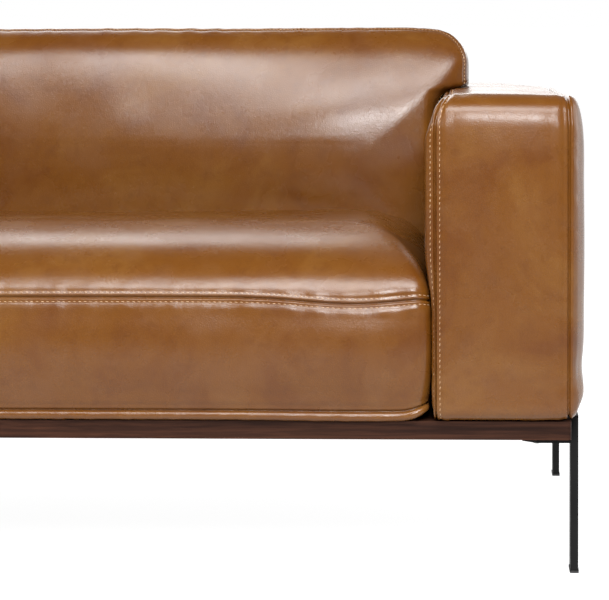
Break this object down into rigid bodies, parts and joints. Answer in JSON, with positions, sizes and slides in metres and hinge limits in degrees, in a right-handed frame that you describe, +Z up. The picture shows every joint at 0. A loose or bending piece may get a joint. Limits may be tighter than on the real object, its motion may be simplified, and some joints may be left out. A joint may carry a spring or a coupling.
{
  "type": "sofa",
  "caption": "Sofa with square padded leather arms, loose boxed seat cushions and a slim walnut base on flat steel bar legs.",
  "frame": {"origin": "on the floor, under the middle of the sofa", "axes": "+Z up, front of the seat towards -Y, sofa's length along X"},
  "size_m": [2.1984, 0.8793, 0.71],
  "materials": {
    "walnut": "satin",
    "frame_timber": "matte",
    "black_steel": "satin",
    "screw": "satin",
    "glide": "matte",
    "leather": "satin",
    "webbing": "matte",
    "lining_cloth": "matte"
  },
  "bodies": {
    "base": {"front_rail": "walnut", "back_rail": "walnut", "left_side_rail": "walnut", "right_side_rail": "walnut", "left_bearer": "walnut", "right_bearer": "walnut", "centre_rail": "walnut", "front_left_leg": "black_steel", "front_left_glide": "glide", "front_left_leg_screw_1": "screw", "front_left_leg_screw_2": "screw", "front_right_leg": "black_steel", "front_right_glide": "glide", "front_right_leg_screw_1": "screw", "front_right_leg_screw_2": "screw", "back_left_leg": "black_steel", "back_left_glide": "glide", "back_left_leg_screw_1": "screw", "back_left_leg_screw_2": "screw", "back_right_leg": "black_steel", "back_right_glide": "glide", "back_right_leg_screw_1": "screw", "back_right_leg_screw_2": "screw", "centre_leg": "black_steel", "centre_glide": "glide", "centre_leg_screw_1": "screw", "centre_leg_screw_2": "screw", "left_arm_base_board": "frame_timber", "left_arm_front_post": "frame_timber", "left_arm_back_post": "frame_timber", "left_arm_top_board": "frame_timber", "left_arm_cover": "leather", "right_arm_base_board": "frame_timber", "right_arm_front_post": "frame_timber", "right_arm_back_post": "frame_timber", "right_arm_top_board": "frame_timber", "right_arm_cover": "leather", "back_base_board": "frame_timber", "back_top_board": "frame_timber", "back_left_post": "frame_timber", "back_middle_post": "frame_timber", "back_right_post": "frame_timber", "back_cover": "leather", "left_back_pad": "leather", "left_deck_webbing": "webbing", "left_back_webbing": "webbing", "left_dust_cover": "lining_cloth", "right_back_pad": "leather", "right_deck_webbing": "webbing", "right_back_webbing": "webbing", "right_dust_cover": "lining_cloth", "deck_cloth": "lining_cloth"},
    "left_seat": {"left_seat_cushion": "leather"},
    "right_seat": {"right_seat_cushion": "leather"}
  },
  "joints": [
    {"name": "left_seat_lift", "type": "slide", "parent": "base", "child": "left_seat", "axis": [0, -0.6, 0.8], "range_m": [0, 0.3]},
    {"name": "right_seat_lift", "type": "slide", "parent": "base", "child": "right_seat", "axis": [0, -0.6, 0.8], "range_m": [0, 0.3]}
  ]
}
